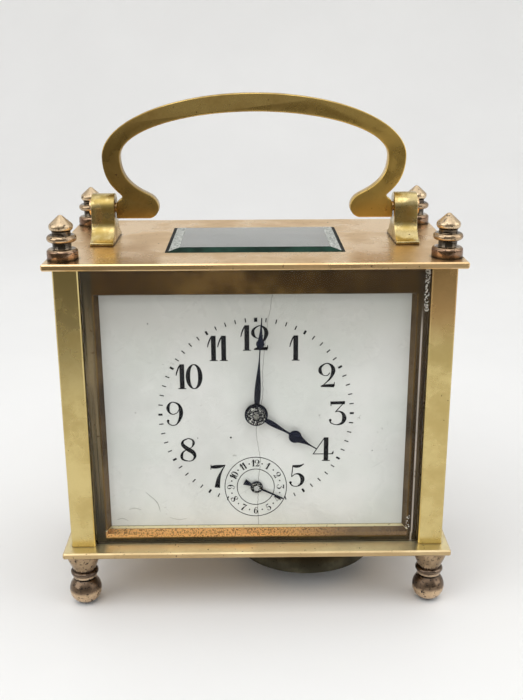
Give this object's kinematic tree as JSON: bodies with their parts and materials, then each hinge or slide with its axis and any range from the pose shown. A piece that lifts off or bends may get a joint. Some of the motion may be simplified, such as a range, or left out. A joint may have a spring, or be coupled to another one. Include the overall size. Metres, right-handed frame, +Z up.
{
  "type": "carriage alarm clock",
  "caption": "Brass carriage clock with bevelled glasses, folding handle, enamel dial with a small alarm dial, and a bell under the base.",
  "frame": {"origin": "on the surface the clock stands on, under the middle of the case", "axes": "+Z up, +X to the right of someone who faces the dial, +Y from the dial to the rear door"},
  "size_m": [0.124, 0.072, 0.1617],
  "materials": {
    "case_brass": "aged polish, spotted",
    "gilt_brass": "grained",
    "glass": "bevelled",
    "enamel": "glossy enamel, hairline crack",
    "blued_steel": "blue-black",
    "bell_metal": "dark patina",
    "steel": "polished",
    "platform_steel": "silvered"
  },
  "bodies": {
    "case": {"balance_cock": "platform_steel", "base_plate": "case_brass", "bell": "bell_metal", "bell_post": "steel", "dial": "enamel", "dial_mask": "case_brass", "finial_back_left": "case_brass", "finial_back_right": "case_brass", "finial_front_left": "case_brass", "finial_front_right": "case_brass", "foot_back_left": "case_brass", "foot_back_right": "case_brass", "foot_front_left": "case_brass", "foot_front_right": "case_brass", "front_glass": "glass", "hairspring": "steel", "handle_pins": "steel", "handle_stand_left": "case_brass", "handle_stand_right": "case_brass", "movement_back_plate": "gilt_brass", "movement_front_plate": "gilt_brass", "movement_screws": "steel", "pillar_back_left": "case_brass", "pillar_back_right": "case_brass", "pillar_front_left": "case_brass", "pillar_front_right": "case_brass", "platform": "platform_steel", "side_glass_left": "glass", "side_glass_right": "glass", "top_glass": "glass", "top_plate": "case_brass"},
    "handle": {"handle": "case_brass"},
    "rear_door": {"door_frame": "case_brass", "door_glass": "glass", "door_knob": "case_brass"},
    "hand_arbor": {"centre_arbor": "steel", "cannon_pinion": "steel", "minute_hand": "blued_steel"},
    "minute_wheel": {"minute_wheel": "gilt_brass"},
    "hour_wheel": {"hour_wheel": "gilt_brass", "hour_hand": "blued_steel"},
    "alarm_hour_wheel": {"alarm_hour_wheel": "gilt_brass"},
    "alarm_set": {"alarm_set_arbor": "steel", "alarm_hand": "blued_steel"},
    "barrel": {"barrel": "gilt_brass", "mainspring": "steel"},
    "winding": {"winding_arbor": "steel", "ratchet_wheel": "steel"},
    "click": {"click": "steel"},
    "centre_wheel": {"centre_wheel": "gilt_brass"},
    "third_wheel": {"third_wheel": "gilt_brass"},
    "contrate_wheel": {"contrate_wheel": "gilt_brass"},
    "escape_wheel": {"escape_wheel": "gilt_brass"},
    "pallet_lever": {"pallet_lever": "steel"},
    "balance": {"balance": "gilt_brass"},
    "alarm_barrel": {"alarm_barrel": "gilt_brass"},
    "alarm_winding": {"alarm_winding_arbor": "steel"},
    "alarm_click": {"alarm_click": "steel"},
    "alarm_strike_wheel": {"alarm_strike_wheel": "gilt_brass"},
    "hammer": {"hammer": "steel"}
  },
  "joints": [
    {"name": "handle_fold", "type": "hinge", "parent": "case", "child": "handle", "pos_m": [0, 0, 0.1264], "axis": [1, 0, 0], "range_deg": [-102, 102]},
    {"name": "rear_door", "type": "hinge", "parent": "case", "child": "rear_door", "pos_m": [0.04952, 0.029, 0.0678], "axis": [0, 0, -1], "range_deg": [0, 95]},
    {"name": "hand_setting", "type": "hinge", "parent": "case", "child": "hand_arbor", "pos_m": [0, 0, 0.0654], "axis": [0, 1, 0], "continuous": true},
    {"name": "minute_wheel_turn", "type": "hinge", "parent": "case", "child": "minute_wheel", "pos_m": [-0.01125, -0.0187, 0.07665], "axis": [0, 1, 0], "continuous": true},
    {"name": "hour_wheel_turn", "type": "hinge", "parent": "case", "child": "hour_wheel", "pos_m": [0, -0.0208, 0.0654], "axis": [0, 1, 0], "continuous": true},
    {"name": "alarm_hour_wheel_turn", "type": "hinge", "parent": "case", "child": "alarm_hour_wheel", "pos_m": [0, -0.0208, 0.03995], "axis": [0, 1, 0], "continuous": true},
    {"name": "alarm_setting", "type": "hinge", "parent": "case", "child": "alarm_set", "pos_m": [0, 0, 0.03995], "axis": [0, 1, 0], "continuous": true},
    {"name": "barrel_turn", "type": "hinge", "parent": "case", "child": "barrel", "pos_m": [-0.02001, 0, 0.05512], "axis": [0, 1, 0], "continuous": true},
    {"name": "winding", "type": "hinge", "parent": "case", "child": "winding", "pos_m": [-0.02001, 0, 0.05512], "axis": [0, 1, 0], "continuous": true},
    {"name": "click_turn", "type": "hinge", "parent": "case", "child": "click", "pos_m": [-0.01381, 0.0126, 0.04812], "axis": [0, 1, 0], "range_deg": [0, 12], "stiffness_Nm_per_rad": 0.000002, "springref_deg": -11.46},
    {"name": "centre_wheel_turn", "type": "hinge", "parent": "case", "child": "centre_wheel", "pos_m": [0, 0, 0.0654], "axis": [0, 1, 0], "continuous": true},
    {"name": "third_wheel_turn", "type": "hinge", "parent": "case", "child": "third_wheel", "pos_m": [-0.009, 0, 0.08099], "axis": [0, 1, 0], "continuous": true},
    {"name": "contrate_wheel_turn", "type": "hinge", "parent": "case", "child": "contrate_wheel", "pos_m": [0.00393, 0, 0.08519], "axis": [0, 1, 0], "continuous": true},
    {"name": "escape_wheel_turn", "type": "hinge", "parent": "case", "child": "escape_wheel", "pos_m": [0.00393, -0.00466, 0.10175], "axis": [0, 0, 1], "continuous": true},
    {"name": "lever_swing", "type": "hinge", "parent": "case", "child": "pallet_lever", "pos_m": [-0.00167, -0.00466, 0.10175], "axis": [0, 0, 1], "range_deg": [-5, 5]},
    {"name": "balance_swing", "type": "hinge", "parent": "case", "child": "balance", "pos_m": [-0.00807, -0.00466, 0.10175], "axis": [0, 0, 1], "range_deg": [-135, 135], "stiffness_Nm_per_rad": 0.0000003, "deforming": ["hairspring"]},
    {"name": "alarm_barrel_turn", "type": "hinge", "parent": "case", "child": "alarm_barrel", "pos_m": [0.0175, 0, 0.03747], "axis": [0, 1, 0], "continuous": true},
    {"name": "alarm_winding", "type": "hinge", "parent": "case", "child": "alarm_winding", "pos_m": [0.0175, 0, 0.03747], "axis": [0, 1, 0], "continuous": true},
    {"name": "alarm_click_turn", "type": "hinge", "parent": "case", "child": "alarm_click", "pos_m": [0.0237, 0.0126, 0.03047], "axis": [0, 1, 0], "range_deg": [0, 12], "stiffness_Nm_per_rad": 0.000002, "springref_deg": -11.46},
    {"name": "strike_wheel_turn", "type": "hinge", "parent": "case", "child": "alarm_strike_wheel", "pos_m": [0.0035, 0, 0.0313], "axis": [0, 1, 0], "continuous": true},
    {"name": "hammer_swing", "type": "hinge", "parent": "case", "child": "hammer", "pos_m": [-0.0099, 0, 0.0308], "axis": [0, 1, 0], "range_deg": [-2, 10]}
  ],
  "couplings": [
    {"joint": "minute_wheel_turn", "follows": "hand_setting", "ratio": -0.33333},
    {"joint": "hour_wheel_turn", "follows": "hand_setting", "ratio": 0.083333},
    {"joint": "alarm_hour_wheel_turn", "follows": "hand_setting", "ratio": -0.083333},
    {"joint": "escape_wheel_turn", "follows": "contrate_wheel_turn", "ratio": 10},
    {"joint": "third_wheel_turn", "follows": "contrate_wheel_turn", "ratio": -0.13333},
    {"joint": "centre_wheel_turn", "follows": "contrate_wheel_turn", "ratio": 0.016667},
    {"joint": "barrel_turn", "follows": "contrate_wheel_turn", "ratio": -0.0020833},
    {"joint": "strike_wheel_turn", "follows": "alarm_barrel_turn", "ratio": -7.5}
  ]
}
